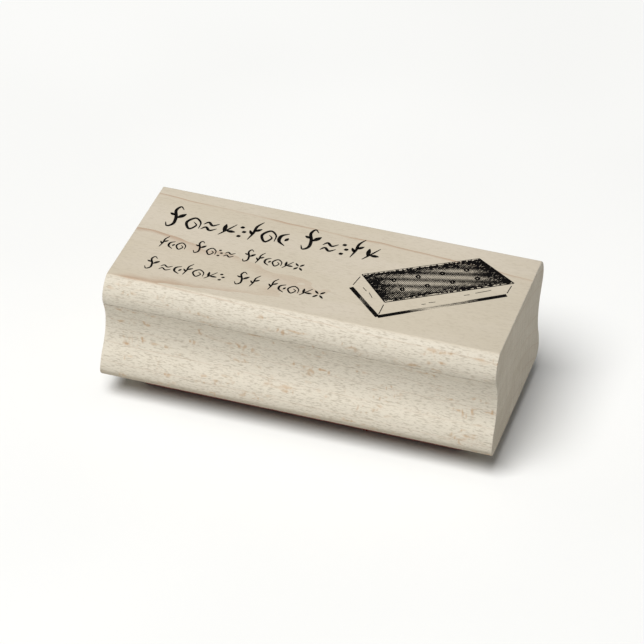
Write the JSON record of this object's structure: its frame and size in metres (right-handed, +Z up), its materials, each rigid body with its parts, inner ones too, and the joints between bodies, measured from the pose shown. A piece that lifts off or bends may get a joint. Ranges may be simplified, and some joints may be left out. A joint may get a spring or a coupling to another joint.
{
  "type": "rubber stamp",
  "caption": "Wood-mounted rubber stamp: a moulded maple block with a printed index on its flat top, over a foam cushion and a relief die.",
  "frame": {"origin": "on the surface that the stamp stands on, under the middle of its box", "axes": "+X along the block, with the index read left to right from above; +Y away from the reader's side; +Z up, out of the flat top"},
  "size_m": [0.0762, 0.0354, 0.0273],
  "materials": {
    "maple": "planed and sanded, unvarnished",
    "adhesive_film": "clear double-sided film with a cream tint",
    "cushion_foam": "fine closed-cell foam, knife-cut edges",
    "stamp_rubber": "moulded, matt",
    "index_ink": "black printed ink"
  },
  "bodies": {
    "handle": {"wood_block": "maple", "cushion_adhesive": "adhesive_film", "foam_cushion": "cushion_foam"},
    "die": {"die_adhesive": "adhesive_film", "rubber_die": "stamp_rubber"}
  },
  "joints": [
    {"name": "cushion_squeeze", "type": "slide", "parent": "handle", "child": "die", "axis": [0, 0, 1], "range_m": [0, 0.0008], "stiffness_N_per_m": 20000, "deforming": ["foam_cushion"]}
  ]
}
